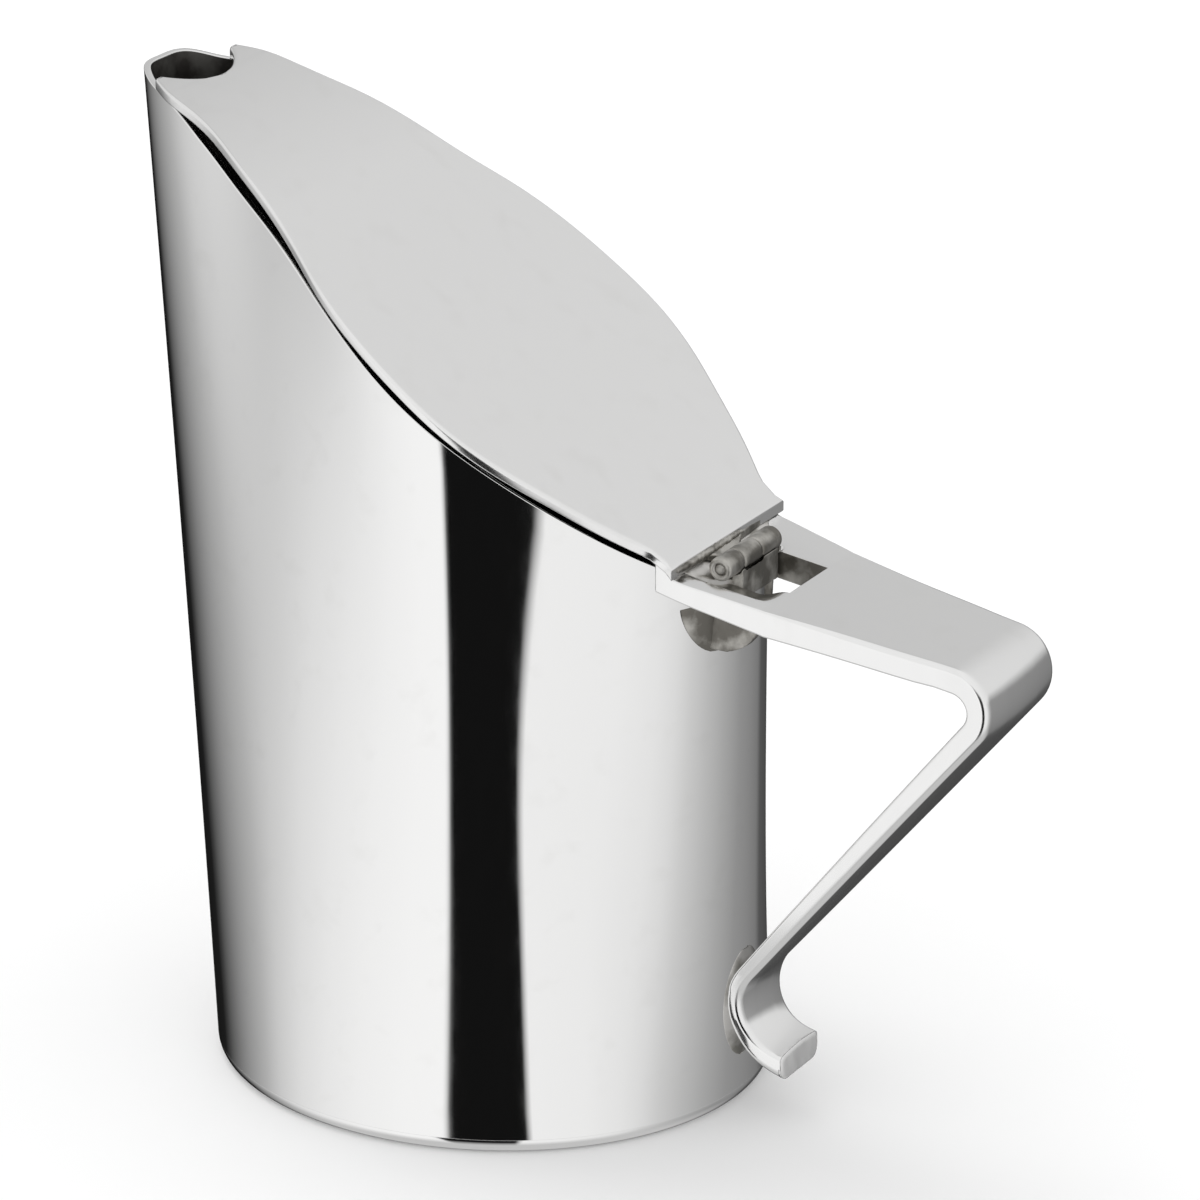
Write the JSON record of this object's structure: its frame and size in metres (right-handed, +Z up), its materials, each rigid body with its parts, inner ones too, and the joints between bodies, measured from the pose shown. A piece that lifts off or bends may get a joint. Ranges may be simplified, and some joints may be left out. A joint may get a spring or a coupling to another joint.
{
  "type": "lidded creamer",
  "caption": "Small metal creamer: an oval wall leaning to a pouring lip, a slanted hinged lid with a notch, and a bent strap handle with a curled foot.",
  "frame": {"origin": "centre of the base's underside", "axes": "+Z up from the base, +X towards the handle and the hinge, the pouring lip towards -X, the object is alike on both sides of Y = 0"},
  "size_m": [0.1015, 0.0562, 0.1036],
  "materials": {
    "polished_silver": "mirror polished",
    "lid_silver": "softly polished flat sheet",
    "dull_silver": "dull, tarnished by soldering"
  },
  "bodies": {
    "body": {"body_wall": "polished_silver", "base_plate": "polished_silver", "body_hinge_leaf": "dull_silver", "left_knuckle": "dull_silver", "right_knuckle": "dull_silver", "hinge_pin": "dull_silver", "handle_strap": "polished_silver", "left_bracket": "dull_silver", "right_bracket": "dull_silver", "foot_pad": "dull_silver"},
    "lid": {"lid_plate": "lid_silver", "lid_hinge_strip": "lid_silver", "lid_knuckle": "dull_silver"}
  },
  "joints": [
    {"name": "lid_hinge", "type": "hinge", "parent": "body", "child": "lid", "pos_m": [0.03, -0.0008, 0.06107], "axis": [0, 1, 0], "range_deg": [0, 153]}
  ]
}
